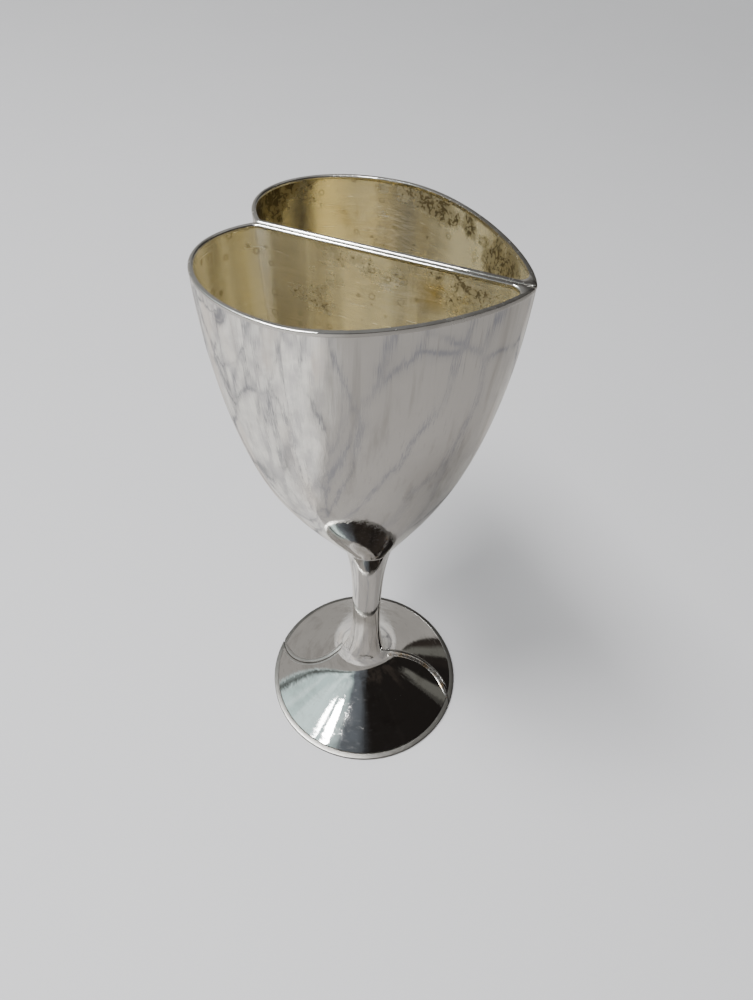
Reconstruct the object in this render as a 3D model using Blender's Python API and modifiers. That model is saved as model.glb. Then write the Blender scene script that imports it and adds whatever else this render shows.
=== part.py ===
"""A pair of nesting silver goblets that stand together as one heart-shaped chalice.

Each goblet has half of a heart for its bowl, half of a round stem and half of a round
foot. The two halves meet on the plane Y = 0: the front goblet is at -Y, the back one at
+Y, and the heart's point is at +X. The feet meet along an S-shaped joint. The origin is
the centre of the round foot, on the surface that the goblets stand on, with +Z up.
"""
import math

import bmesh
import bpy

MM = 0.001

# Whole pair
TOTAL_HEIGHT = 170 * MM
GAP = 0.6 * MM                  # space between the two goblets when they stand together
SOLDER = 0.3 * MM               # clearance kept where two pieces are soldered face to face
FRONT = -1                      # the side of Y = 0 that a goblet is on
BACK = 1

# Foot
FOOT_RADIUS = 33.5 * MM
RING_INNER = 31.6 * MM
RING_HEIGHT = 1.6 * MM
RING_ROUND = 0.4 * MM
SHELL_RADIUS = RING_INNER - SOLDER
SHELL_THICKNESS = 0.9 * MM
SHELL_EDGE_TOP = 1.9 * MM
SHELL_EDGE_BOTTOM = 0.4 * MM
HUB_RADIUS = 6.4 * MM
HUB_HEIGHT = 21.0 * MM
HUB_HANDLE = (8.6 * MM, 14.5 * MM)      # these two shape the curve from hub to cone
CONE_HANDLE = (14.0 * MM, 11.5 * MM)
JOINT_BULGE = 8.7 * MM          # how far the S-shaped joint swings off the plane Y = 0
BEAD_RADIUS = 0.6 * MM
BEAD_START = 8.2 * MM           # distance from the foot's centre where a bead begins

# Stem
STEM_WAIST = 4.22 * MM
STEM_TOP_RADIUS = 7.5 * MM
STEM_TOP_FADE = 12.0 * MM        # height over which the top flare fades away
STEM_BASE_FADE = 9.0 * MM

# Bowl
BOWL_BOTTOM = 80.0 * MM
BOWL_BOTTOM_RADIUS = 7.6 * MM
BOWL_FULLNESS = 2.1             # exponent of the wall's curve, from the bottom to the rim
HEART_MEAN_RADIUS = 30.0 * MM   # radius of the circle that the heart is drawn about
HEART_COMPLETE_AT = 0.43        # share of the bowl's height where the heart is fully formed
WALL_THICKNESS = 1.0 * MM
RIM_WIRE_RADIUS = 0.6 * MM
RIM_CORNER = 1.5 * MM
WALL_TOP = TOTAL_HEIGHT - 2 * RIM_WIRE_RADIUS - SOLDER

# Half of the heart's outline at the rim, as two Bezier curves from point to cleft
HEART_POINT = (31.4 * MM, 0.0)
HEART_POINT_HANDLE = (29.6 * MM, 10.0 * MM)
HEART_FLANK_HANDLE = (10.0 * MM, 31.2 * MM)
HEART_SHOULDER = (-6.6 * MM, 31.2 * MM)
HEART_LOBE_HANDLE = (-28.0 * MM, 31.2 * MM)
HEART_CLEFT_HANDLE = (-41.0 * MM, 13.6 * MM)
HEART_CLEFT = (-27.0 * MM, 0.0)

# Fineness of the solids
OUTLINE_STEPS = 14              # spans in each of the heart's two Bezier curves
WALL_LEVELS = 12
TURN_STEPS = 48
STEM_STEPS = 32
STEM_LEVELS = 16
FLARE_STEPS = 10
JOINT_STEPS = 14
CORNER_STEPS = 4

CUT_SPAN = 0.1                  # half size of the cutters, larger than the goblets
MERGE = 0.00001


def bezier(start, handle_a, handle_b, end, t):
    """A point on a cubic Bezier curve in the plane."""
    s = 1 - t
    return tuple(s**3 * p + 3 * s * s * t * a + 3 * s * t * t * b + t**3 * q
                 for p, a, b, q in zip(start, handle_a, handle_b, end))


# ---------------------------------------------------------------- scene and materials

def clear_scene():
    for obj in list(bpy.data.objects):
        bpy.data.objects.remove(obj, do_unlink=True)


def new_collection(name):
    collection = bpy.data.collections.new(name)
    bpy.context.scene.collection.children.link(collection)
    return collection


def new_material(name, colour, roughness):
    material = bpy.data.materials.new(name)
    material.use_nodes = True
    shader = material.node_tree.nodes["Principled BSDF"]
    shader.inputs["Base Color"].default_value = (*colour, 1)
    shader.inputs["Metallic"].default_value = 1.0
    shader.inputs["Roughness"].default_value = roughness
    return material


def polished_silver(node):
    return new_material(node + "_silver_plate", (0.88, 0.87, 0.84), 0.08)


def satin_gilt(node):
    return new_material(node + "_gilding", (0.78, 0.66, 0.36), 0.3)


def add_mesh_object(name, bm, collection, smooth=True):
    mesh = bpy.data.meshes.new(name)
    bm.to_mesh(mesh)
    bm.free()
    if smooth:
        mesh.shade_smooth()
        mesh.set_sharp_from_angle(angle=math.radians(40))
    obj = bpy.data.objects.new(name, mesh)
    collection.objects.link(obj)
    return obj


def add_cutter(name, bm, collection):
    cutter = add_mesh_object(name, bm, collection, smooth=False)
    cutter.hide_render = True
    cutter.display_type = "WIRE"
    return cutter


def cut(obj, cutter):
    modifier = obj.modifiers.new("cut_" + cutter.name, "BOOLEAN")
    modifier.operation = "DIFFERENCE"
    modifier.object = cutter


def solidify(obj, thickness):
    """Give an open surface its thickness on the inner side."""
    modifier = obj.modifiers.new("sheet", "SOLIDIFY")
    modifier.thickness = thickness
    modifier.offset = -1
    modifier.use_even_offset = True


def screw(obj, steps):
    modifier = obj.modifiers.new("turned", "SCREW")
    modifier.steps = steps
    modifier.render_steps = steps
    modifier.use_merge_vertices = True
    modifier.merge_threshold = MERGE


def profile_mesh(points):
    """An open line of (radius, height) points in the XZ plane, ready to be turned."""
    bm = bmesh.new()
    verts = [bm.verts.new((radius, 0, height)) for radius, height in points]
    for a, b in zip(verts, verts[1:]):
        bm.edges.new((a, b))
    return bm


def tube_object(name, points, radius, cyclic, collection):
    """A wire along a line of points, as a mesh with welded caps."""
    curve = bpy.data.curves.new(name, "CURVE")
    curve.dimensions = "3D"
    curve.bevel_depth = radius
    curve.bevel_resolution = 2
    curve.use_fill_caps = not cyclic
    spline = curve.splines.new("POLY")
    spline.points.add(len(points) - 1)
    for target, point in zip(spline.points, points):
        target.co = (*point, 1)
    spline.use_cyclic_u = cyclic
    source = bpy.data.objects.new(name + "_path", curve)
    collection.objects.link(source)
    depsgraph = bpy.context.evaluated_depsgraph_get()
    mesh = bpy.data.meshes.new_from_object(source.evaluated_get(depsgraph))
    bpy.data.objects.remove(source, do_unlink=True)
    bpy.data.curves.remove(curve)
    bm = bmesh.new()
    bm.from_mesh(mesh)
    bpy.data.meshes.remove(mesh)
    bmesh.ops.remove_doubles(bm, verts=bm.verts, dist=MERGE)
    bmesh.ops.recalc_face_normals(bm, faces=bm.faces)
    return add_mesh_object(name, bm, collection)


# ------------------------------------------------------------------ the bowl's outline

def heart_half():
    """Half of the rim's outline at +Y, from the heart's point round to its cleft."""
    steps = [i / OUTLINE_STEPS for i in range(OUTLINE_STEPS + 1)]
    flank = [bezier(HEART_POINT, HEART_POINT_HANDLE, HEART_FLANK_HANDLE, HEART_SHOULDER, t)
             for t in steps]
    lobe = [bezier(HEART_SHOULDER, HEART_LOBE_HANDLE, HEART_CLEFT_HANDLE, HEART_CLEFT, t)
            for t in steps]
    return flank + lobe[1:]


def bowl_outline(height):
    """The outer outline at a height: a half circle at the bottom, a half heart above."""
    rise = (height - BOWL_BOTTOM) / (TOTAL_HEIGHT - BOWL_BOTTOM)
    swell = 1 - (1 - rise) ** BOWL_FULLNESS
    mean = BOWL_BOTTOM_RADIUS + (HEART_MEAN_RADIUS - BOWL_BOTTOM_RADIUS) * swell
    heart_share = math.sin(math.pi / 2 * min(1, rise / HEART_COMPLETE_AT))
    outline = []
    for x, y in heart_half():
        angle = math.atan2(y, x)
        radius = mean + heart_share * (math.hypot(x, y) - HEART_MEAN_RADIUS)
        outline.append((radius * math.cos(angle), radius * math.sin(angle)))
    return outline


def wall_heights():
    """Heights from the bowl's bottom to the wall's top, closer together low down."""
    span = WALL_TOP - BOWL_BOTTOM
    return [BOWL_BOTTOM + span * (i / WALL_LEVELS) ** 1.3 for i in range(WALL_LEVELS + 1)]


def mirror_to_side(bm, side):
    """Move a shape that was drawn at +Y to the given side of the plane Y = 0."""
    if side == BACK:
        return
    for vert in bm.verts:
        vert.co.y = -vert.co.y
    bmesh.ops.reverse_faces(bm, faces=bm.faces)


# -------------------------------------------------------------------- the foot's joint

def joint_arc():
    """Half chord, radius and centre of one arc of the S-shaped joint, at +X."""
    half_chord = (FOOT_RADIUS - HUB_RADIUS) / 2
    radius = (half_chord**2 + JOINT_BULGE**2) / (2 * JOINT_BULGE)
    return half_chord, radius, (HUB_RADIUS + half_chord, JOINT_BULGE - radius)


def joint_half(inset):
    """The joint at +X, from the hub out to the edge, moved by inset towards -Y."""
    half_chord, radius, centre = joint_arc()
    spread = math.asin(half_chord / radius)
    points = []
    for i in range(JOINT_STEPS + 1):
        angle = -spread + 2 * spread * i / JOINT_STEPS
        points.append((centre[0] + (radius - inset) * math.sin(angle),
                       centre[1] + (radius - inset) * math.cos(angle)))
    return points


def joint_half_far(inset):
    """The joint at -X, from the hub out to the edge, moved by inset towards -Y."""
    return [(-x, -y) for x, y in joint_half(-inset)]


def foot_curve(t):
    """The foot's outer surface from the hub (t = 0) down to its edge (t = 1)."""
    return bezier((HUB_RADIUS, HUB_HEIGHT), HUB_HANDLE, CONE_HANDLE,
                  (SHELL_RADIUS, SHELL_EDGE_TOP), t)


def above_foot(radius, distance):
    """Radius and height of a point at a distance off the foot's surface, outwards."""
    low, high = 0.0, 1.0
    for _ in range(40):
        t = (low + high) / 2
        ahead, behind = foot_curve(min(1, t + 0.01)), foot_curve(max(0, t - 0.01))
        slope = math.hypot(ahead[0] - behind[0], ahead[1] - behind[1])
        normal = ((behind[1] - ahead[1]) / slope, (ahead[0] - behind[0]) / slope)
        on_foot = foot_curve(t)
        lifted = (on_foot[0] + distance * normal[0], on_foot[1] + distance * normal[1])
        if lifted[0] < radius:
            low = t
        else:
            high = t
    return lifted


def foot_cutter(side, collection):
    """Everything on the far side of the S-shaped joint from one goblet's foot."""
    inset = GAP / 2
    near = joint_half(inset)
    far = joint_half_far(inset)
    end = near[-1]
    tail = far[-1]
    outline = far[::-1] + near
    outline += [(CUT_SPAN, end[1] + (end[1] - near[-2][1])), (CUT_SPAN, CUT_SPAN)]
    outline += [(-CUT_SPAN, CUT_SPAN), (-CUT_SPAN, tail[1] + (tail[1] - far[-2][1]))]
    bm = bmesh.new()
    face = bm.faces.new([bm.verts.new((x, y, -CUT_SPAN)) for x, y in outline])
    grown = bmesh.ops.extrude_face_region(bm, geom=[face])
    for element in grown["geom"]:
        if isinstance(element, bmesh.types.BMVert):
            element.co.z = CUT_SPAN
    if side == BACK:
        for vert in bm.verts:
            vert.co.x, vert.co.y = -vert.co.x, -vert.co.y
    bmesh.ops.recalc_face_normals(bm, faces=bm.faces)
    return add_cutter("foot_cutter_" + side_name(side), bm, collection)


def plane_cutter(name, side, distance, collection):
    """Everything nearer to the plane Y = 0 than a distance, and beyond it."""
    bm = bmesh.new()
    bmesh.ops.create_cube(bm, size=2 * CUT_SPAN)
    for vert in bm.verts:
        vert.co.y += side * (distance - CUT_SPAN)
        vert.co.z += CUT_SPAN
    return add_cutter(name, bm, collection)


def side_name(side):
    return "front" if side == FRONT else "back"


# ---------------------------------------------------------------------- the sub-parts

def make_bowl_wall(name, side, parts, cutters):
    """The curved wall and its floor, lofted from a half circle to a half heart."""
    bm = bmesh.new()
    rings = []
    for height in wall_heights():
        rings.append([bm.verts.new((x, y, height)) for x, y in bowl_outline(height)])
    for lower, upper in zip(rings, rings[1:]):
        for i in range(len(lower) - 1):
            bm.faces.new((lower[i], lower[i + 1], upper[i + 1], upper[i]))
    centre = bm.verts.new((0, 0, BOWL_BOTTOM))
    for a, b in zip(rings[0], rings[0][1:]):
        bm.faces.new((b, a, centre))
    mirror_to_side(bm, side)
    wall = add_mesh_object(name, bm, parts)
    solidify(wall, WALL_THICKNESS)
    behind_divider = GAP / 2 + WALL_THICKNESS + SOLDER
    cut(wall, plane_cutter(name + "_cutter", side, behind_divider, cutters))
    return wall


def outline_span(outline, distance):
    """Where an outline is a distance off the plane Y = 0, at its point and its cleft."""
    ends = []
    for run in (outline, outline[::-1]):
        for near, far in zip(run, run[1:]):
            if far[1] >= distance:
                share = (distance - near[1]) / (far[1] - near[1])
                ends.append(near[0] + share * (far[0] - near[0]))
                break
    return ends


def make_bowl_divider(name, side, parts):
    """The flat wall that closes the bowl, flush with the curved wall's outside."""
    inner = GAP / 2 + WALL_THICKNESS
    heights = wall_heights()
    spans = [outline_span(bowl_outline(height), inner) for height in heights]
    edge = [(span[0], height) for span, height in zip(spans, heights)]
    edge += [(span[1], height) for span, height in zip(spans, heights)][::-1]
    bm = bmesh.new()
    face = bm.faces.new([bm.verts.new((x, side * GAP / 2, z)) for x, z in edge])
    grown = bmesh.ops.extrude_face_region(bm, geom=[face])
    for element in grown["geom"]:
        if isinstance(element, bmesh.types.BMVert):
            element.co.y = side * inner
    bmesh.ops.recalc_face_normals(bm, faces=bm.faces)
    return add_mesh_object(name, bm, parts)


def rounded(corner, before, after, radius):
    """An arc that replaces a corner between two directions."""
    to_before = math.atan2(before[1] - corner[1], before[0] - corner[0])
    to_after = math.atan2(after[1] - corner[1], after[0] - corner[0])
    opening = (to_after - to_before + math.pi) % (2 * math.pi) - math.pi
    half = abs(opening) / 2
    middle = to_before + opening / 2
    centre = (corner[0] + radius / math.sin(half) * math.cos(middle),
              corner[1] + radius / math.sin(half) * math.sin(middle))
    sweep = math.copysign(math.pi - abs(opening), opening)
    first = middle + math.pi + sweep / 2
    return [(centre[0] + radius * math.cos(first - sweep * i / CORNER_STEPS),
             centre[1] + radius * math.sin(first - sweep * i / CORNER_STEPS))
            for i in range(CORNER_STEPS + 1)]


def inset_outline(outline, distance):
    """The outline moved inwards; it runs anticlockwise round the bowl's middle."""
    moved = []
    for i in range(len(outline)):
        before, after = outline[max(0, i - 1)], outline[min(len(outline) - 1, i + 1)]
        along = (after[0] - before[0], after[1] - before[1])
        length = math.hypot(*along)
        moved.append((outline[i][0] - distance * along[1] / length,
                      outline[i][1] + distance * along[0] / length))
    return moved


def rim_loop():
    """The rim wire's centre line: round the half heart and back along the divider."""
    straight = GAP / 2 + RIM_WIRE_RADIUS
    curved = inset_outline(heart_half(), RIM_WIRE_RADIUS)
    lowest = straight + RIM_CORNER
    kept = [point for point in curved if point[1] > lowest]
    corners = []
    for inner, outer in ((kept[0], kept[1]), (kept[-1], kept[-2])):
        run = (straight - inner[1]) / (inner[1] - outer[1])
        corners.append((inner[0] + run * (inner[0] - outer[0]), straight))
    at_point, at_cleft = corners
    loop = list(kept)
    loop += rounded(at_cleft, kept[-1], at_point, RIM_CORNER)
    loop += rounded(at_point, at_cleft, kept[0], RIM_CORNER)
    return loop


def make_rim_wire(name, side, parts):
    """The bead round the mouth of one bowl."""
    height = TOTAL_HEIGHT - RIM_WIRE_RADIUS
    points = [(x, side * y, height) for x, y in rim_loop()]
    return tube_object(name, points, RIM_WIRE_RADIUS, True, parts)


def stem_radius(height, bottom, top):
    """A slim waist that flares gently to both ends."""
    top_flare = (STEM_TOP_RADIUS - STEM_WAIST) * math.exp((height - top) / STEM_TOP_FADE)
    base_flare = (HUB_RADIUS - STEM_WAIST) * math.exp((bottom - height) / STEM_BASE_FADE)
    return STEM_WAIST + top_flare + base_flare


def make_stem(name, side, parts, cutters):
    """Half of the round stem, solid, flat on the side of the other goblet."""
    bottom, top = HUB_HEIGHT + SOLDER, BOWL_BOTTOM - SOLDER
    heights = [top + (bottom - top) * i / STEM_LEVELS for i in range(STEM_LEVELS + 1)]
    profile = [(0, top)]
    profile += [(stem_radius(height, bottom, top), height) for height in heights]
    profile += [(0, bottom)]
    stem = add_mesh_object(name, profile_mesh(profile), parts)
    screw(stem, STEM_STEPS)
    cut(stem, plane_cutter(name + "_cutter", side, GAP / 2, cutters))
    return stem


def make_foot_shell(name, cutter, parts):
    """The domed sheet of the foot, with a small flat top that the stem stands on."""
    profile = [(0, HUB_HEIGHT)]
    profile += [foot_curve(i / FLARE_STEPS) for i in range(FLARE_STEPS + 1)]
    profile += [(SHELL_RADIUS, SHELL_EDGE_BOTTOM)]
    shell = add_mesh_object(name, profile_mesh(profile), parts)
    screw(shell, TURN_STEPS)
    solidify(shell, SHELL_THICKNESS)
    cut(shell, cutter)
    return shell


def make_foot_ring(name, cutter, parts):
    """The flat-bottomed edge ring that the foot stands on."""
    profile = [(RING_INNER, RING_HEIGHT - RING_ROUND),
               (RING_INNER + RING_ROUND, RING_HEIGHT),
               (FOOT_RADIUS - 2 * RING_ROUND, RING_HEIGHT),
               (FOOT_RADIUS - RING_ROUND, RING_HEIGHT - RING_ROUND / 2),
               (FOOT_RADIUS, RING_HEIGHT - 1.5 * RING_ROUND),
               (FOOT_RADIUS, RING_ROUND),
               (FOOT_RADIUS - RING_ROUND / 2, 0),
               (RING_INNER, 0)]
    bm = profile_mesh(profile)
    bm.verts.ensure_lookup_table()
    bm.edges.new((bm.verts[-1], bm.verts[0]))
    ring = add_mesh_object(name, bm, parts)
    screw(ring, TURN_STEPS)
    cut(ring, cutter)
    return ring


def make_joint_bead(name, side, path, parts):
    """A bead along one arm of the joint, lying on the foot's surface at its edge."""
    turn = 1 if side == FRONT else -1
    points = []
    for x, y in path:
        radius = math.hypot(x, y)
        if BEAD_START < radius < SHELL_RADIUS:
            lifted = above_foot(radius, BEAD_RADIUS + SOLDER)
            points.append((turn * x, turn * y, lifted[1]))
    return tube_object(name, points, BEAD_RADIUS, False, parts)


def make_goblet(side, parts, cutters):
    """One goblet, with all its pieces on one empty so that they move together."""
    prefix = side_name(side) + "_"
    foot_cut = foot_cutter(side, cutters)
    bead_inset = GAP / 2 + BEAD_RADIUS
    silver = [
        make_bowl_wall(prefix + "bowl_wall", side, parts, cutters),
        make_rim_wire(prefix + "rim_wire", side, parts),
        make_stem(prefix + "stem", side, parts, cutters),
        make_foot_shell(prefix + "foot_shell", foot_cut, parts),
        make_foot_ring(prefix + "foot_ring", foot_cut, parts),
        make_joint_bead(prefix + "foot_lobe_bead", side, joint_half(bead_inset), parts),
        make_joint_bead(prefix + "foot_horn_bead", side, joint_half_far(bead_inset), parts),
    ]
    gilt = [make_bowl_divider(prefix + "bowl_divider", side, parts)]
    for obj in silver:
        obj.data.materials.append(polished_silver(obj.name))
    for obj in gilt:
        obj.data.materials.append(satin_gilt(obj.name))
    goblet = bpy.data.objects.new(prefix + "goblet", None)
    parts.objects.link(goblet)
    for obj in silver + gilt:
        obj.parent = goblet


def main():
    clear_scene()
    parts = new_collection("nesting_heart_goblets")
    cutters = new_collection("cutters")
    for side in (FRONT, BACK):
        make_goblet(side, parts, cutters)


main()
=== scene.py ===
"""The looks of a pair of nesting silver goblets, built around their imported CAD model.

Each goblet has half of a heart for its bowl, half of a round stem and half of a round
foot. The front goblet is at -Y and the back one at +Y; the heart's point is at +X. Every
length below is in metres. The formulas are those of the CAD model, drawn more finely, and
comments name the few lengths that differ from its own.
"""

import math

import bmesh
import bpy
import numpy as np
from mathutils import Matrix, Vector


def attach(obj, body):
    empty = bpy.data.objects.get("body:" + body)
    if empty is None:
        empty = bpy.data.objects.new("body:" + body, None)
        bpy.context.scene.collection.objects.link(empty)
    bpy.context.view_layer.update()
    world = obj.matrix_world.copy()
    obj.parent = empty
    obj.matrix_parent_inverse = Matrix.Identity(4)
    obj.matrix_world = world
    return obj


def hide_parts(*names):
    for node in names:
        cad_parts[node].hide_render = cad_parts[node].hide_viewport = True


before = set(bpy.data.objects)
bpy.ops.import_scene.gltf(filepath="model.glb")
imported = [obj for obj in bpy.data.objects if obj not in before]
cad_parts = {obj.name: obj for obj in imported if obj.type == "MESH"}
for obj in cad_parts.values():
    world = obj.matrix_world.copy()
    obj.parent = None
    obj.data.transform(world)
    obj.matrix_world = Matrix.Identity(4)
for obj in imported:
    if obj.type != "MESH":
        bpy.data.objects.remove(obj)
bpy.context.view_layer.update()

MM = 0.001

# ------------------------------------------------------------- the CAD model's dimensions
TOTAL_HEIGHT = 170 * MM

FOOT_RADIUS = 33.5 * MM
RING_HEIGHT = 1.6 * MM
SHELL_RADIUS = 31.8 * MM        # 0.5 mm more than the CAD model's, for a slimmer edge ring
SHELL_THICKNESS = 0.9 * MM
SHELL_EDGE_TOP = 1.9 * MM
SHELL_EDGE_BOTTOM = 0.4 * MM
HUB_RADIUS = 6.4 * MM
HUB_HEIGHT = 21.0 * MM
FOOT_CURVE = [(HUB_RADIUS, HUB_HEIGHT), (8.6 * MM, 14.5 * MM),
              (14.0 * MM, 11.5 * MM), (SHELL_RADIUS, SHELL_EDGE_TOP)]
JOINT_BULGE = 8.7 * MM          # how far the S-shaped joint swings off the plane Y = 0
BEAD_START = 8.2 * MM

STEM_WAIST = 4.22 * MM
STEM_TOP_RADIUS = 7.5 * MM
STEM_TOP_FADE = 12.0 * MM
STEM_BASE_FADE = 9.0 * MM
STEM_TOP = 79.7 * MM

BOWL_BOTTOM = 80.0 * MM
BOWL_BOTTOM_RADIUS = 7.6 * MM
BOWL_FULLNESS = 2.1
HEART_MEAN_RADIUS = 30.0 * MM
HEART_COMPLETE_AT = 0.43
WALL_THICKNESS = 1.0 * MM

HEART_SHOULDER = (-6.6 * MM, 31.2 * MM)
HEART_FLANK = [(31.4 * MM, 0.0), (29.6 * MM, 10.0 * MM), (10.0 * MM, 31.2 * MM), HEART_SHOULDER]
HEART_LOBE = [HEART_SHOULDER, (-28.0 * MM, 31.2 * MM), (-41.0 * MM, 13.6 * MM), (-27.0 * MM, 0.0)]

# ------------------------------------------------------------------ the finer model's own
GAP = 0.25 * MM                 # the CAD model leaves more room between the two goblets
SILVER_SHARE = 0.7 * MM         # thickness of silver under the gilding
GILDING_GAP = 0.05 * MM
OUTER_CORNER = 0.6 * MM         # radius of the bowl's two upright edges
INNER_CORNER = 2.0 * MM         # radius of the same corners inside
FLOOR_HEIGHT = 82.6 * MM        # the drinking bowl's lowest point
FLOOR_ROUND = 2.0 * MM
TIGHTEST_CORNER = 0.3 * MM
STEM_CORNER = 0.3 * MM
STEM_SETBACK = 0.5 * MM         # how much further apart the two half stems are
RIM_WIRE_RADIUS = 0.5 * MM      # 0.1 mm less than the CAD model's
RIM_WIDTH = 1.12 * MM
RIM_PROUD = 0.06 * MM           # how far the rim's bead stands out from the wall
RIM_INNER_CORNER = 2.2 * MM
RING_EDGE = 0.25 * MM           # radius of the edge ring's upper edges
RING_FALL = 0.35 * MM           # how far the edge ring's top slopes down to its outside
RING_CLEARANCE = 0.02 * MM      # room between the shell and the edge ring
RING_UNDERCUT = 0.3 * MM        # height and width of the slope under the edge ring's outside
BEAD_SINK = 0.15 * MM           # how deep the middle of a foot's bead lies in its shell
BEAD_FADE = 3.0 * MM            # length over which a bead's ends dive into the shell
BEAD_DEPTH = 0.3 * MM
BEAD_SIZES = {"lobe": (0.9 * MM, 0.5 * MM), "horn": (0.4 * MM, 0.27 * MM)}
BEAD_END = 31.7 * MM

# Fineness
SHARP_ANGLE = math.radians(50)  # edges that bend more than this stay crisp
TANGENT_STEP = 1e-4             # step in a curve's own t that gives its direction
SEARCH_ROUNDS = 4
SEARCH_POINTS = 24
LOW_CROWDING = 1.3              # how much closer a wall's levels lie low down
CURVE_POINTS = 150
CORNER_POINTS = 9
STRAIGHT_POINTS = 44
WALL_LEVELS = 96
FLOOR_LEVELS = 10
STEM_LEVELS = 72
ARC_POINTS = 48
SECTION_POINTS = 20
FOOT_LEVELS = 64
HUB_LEVELS = 5
HUB_OPENING = 0.1               # innermost ring of the hub's top, as a share of its radius
EDGE_POINTS = 7
HEIGHT_SAMPLES = 200
FOOT_TURNS = 176
BEAD_STATIONS = 90


# --------------------------------------------------------------------------- the shapes

def bezier(points, t):
    """Points of a cubic Bezier curve in the plane, for an array of t."""
    t = np.asarray(t, float)[:, None]
    a, b, c, d = (np.array(point) for point in points)
    s = 1 - t
    return s**3 * a + 3 * s * s * t * b + 3 * s * t * t * c + t**3 * d


def heart_half(t):
    """Half of the rim's outline at +Y, from its point (t = 0) to its cleft (t = 2)."""
    flank = bezier(HEART_FLANK, t)
    lobe = bezier(HEART_LOBE, t - 1)
    return np.where((t < 1)[:, None], flank, lobe)


def bowl_curve(height):
    """The bowl's outer outline at a height, as a function of t."""
    rise = np.clip((height - BOWL_BOTTOM) / (TOTAL_HEIGHT - BOWL_BOTTOM), 0, 1)
    swell = 1 - (1 - rise) ** BOWL_FULLNESS
    mean = BOWL_BOTTOM_RADIUS + (HEART_MEAN_RADIUS - BOWL_BOTTOM_RADIUS) * swell
    share = math.sin(math.pi / 2 * min(1, rise / HEART_COMPLETE_AT))

    def curve(t):
        x, y = heart_half(t).T
        angle = np.arctan2(y, x)
        radius = mean + share * (np.hypot(x, y) - HEART_MEAN_RADIUS)
        return np.stack([radius * np.cos(angle), radius * np.sin(angle)], 1)

    return curve


def half_circle(radius):
    """A half circle at +Y, as a function of t from 0 to 2."""
    def curve(t):
        return radius * np.stack([np.cos(math.pi / 2 * t), np.sin(math.pi / 2 * t)], 1)

    return curve


def inward(curve, t):
    """Unit normals of a curve that point to its left, which is its inside."""
    along = curve(t + TANGENT_STEP) - curve(t - TANGENT_STEP)
    along /= np.linalg.norm(along, axis=1)[:, None]
    return np.stack([-along[:, 1], along[:, 0]], 1)


def moved(curve, t, distance):
    t = np.atleast_1d(np.asarray(t, float))
    return curve(t) + distance * inward(curve, t)


def meeting(curve, start, stop, distance, line):
    """The t between start and stop where the curve, moved inwards, reaches Y = line."""
    for _ in range(SEARCH_ROUNDS):
        t = np.linspace(start, stop, SEARCH_POINTS)
        y = moved(curve, t, distance)[:, 1]
        i = max(1, int(np.argmax(y > line)))
        start, stop = t[i - 1], t[i]
    return float(np.interp(line, y[i - 1:i + 1], t[i - 1:i + 1]))


def arc(centre, radius, first, last):
    """The points of an arc between its ends, which are left out."""
    angles = np.linspace(first, last, CORNER_POINTS + 2)[1:-1]
    return centre + radius * np.stack([np.cos(angles), np.sin(angles)], 1)


def rounded_loop(curve, inset, corner, points=CURVE_POINTS, setback=0.0):
    """A closed loop: a curve and the plane between the goblets, both moved in by inset,
    with round corners where they meet. The straight side can stand back further by a
    setback."""
    line = GAP / 2 + inset + corner + setback
    t_point = meeting(curve, 0.0, 0.8, inset + corner, line)
    t_cleft = meeting(curve, 2.0, 1.2, inset + corner, line)
    round_part = moved(curve, np.linspace(t_point, t_cleft, points), inset)
    corners = []
    for t in (t_point, t_cleft):
        centre = moved(curve, t, inset + corner)[0]
        outwards = -inward(curve, np.array([t]))[0]
        corners.append((centre, math.atan2(outwards[1], outwards[0])))
    (at_point, point_angle), (at_cleft, cleft_angle) = corners
    down = 1.5 * math.pi
    cleft_arc = arc(at_cleft, corner, cleft_angle % (2 * math.pi), down)
    point_arc = arc(at_point, corner, down, point_angle + 2 * math.pi)
    spacing = (1 - np.cos(np.linspace(0, math.pi, STRAIGHT_POINTS))) / 2
    along = at_cleft[0] + (at_point[0] - at_cleft[0]) * spacing
    straight = np.stack([along, np.full(STRAIGHT_POINTS, line - corner)], 1)
    return np.concatenate([round_part, cleft_arc, straight, point_arc])


def at_height(loop, height):
    return np.column_stack([loop, np.full(len(loop), height)])


def stem_radius(height):
    """A slim waist that flares gently to both ends."""
    top_flare = (STEM_TOP_RADIUS - STEM_WAIST) * math.exp((height - STEM_TOP) / STEM_TOP_FADE)
    base_flare = (HUB_RADIUS - STEM_WAIST) * math.exp((HUB_HEIGHT - height) / STEM_BASE_FADE)
    return STEM_WAIST + top_flare + base_flare


# -------------------------------------------------------------------- meshes from points

def turned_to_side(points, side):
    """Points drawn for the goblet at +Y, mirrored to -Y for the front one."""
    return points * np.array([1, 1 if side == "back" else -1, 1])


def new_piece(name, points, faces, material):
    mesh = bpy.data.meshes.new(name)
    mesh.from_pydata(points.tolist(), [], faces)
    bm = bmesh.new()
    bm.from_mesh(mesh)
    bmesh.ops.recalc_face_normals(bm, faces=bm.faces)
    bm.to_mesh(mesh)
    bm.free()
    mesh.shade_smooth()
    mesh.set_sharp_from_angle(angle=SHARP_ANGLE)
    mesh.materials.append(material)
    piece = bpy.data.objects.new(name, mesh)
    bpy.context.scene.collection.objects.link(piece)
    return piece


def between_rings(rings, count, closed):
    """Quads between each ring and the next, and from the last to the first if closed."""
    faces = []
    for k in range(rings if closed else rings - 1):
        here, there = k * count, (k + 1) % rings * count
        for i in range(count):
            j = (i + 1) % count
            faces.append((here + i, here + j, there + j, there + i))
    return faces


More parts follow.
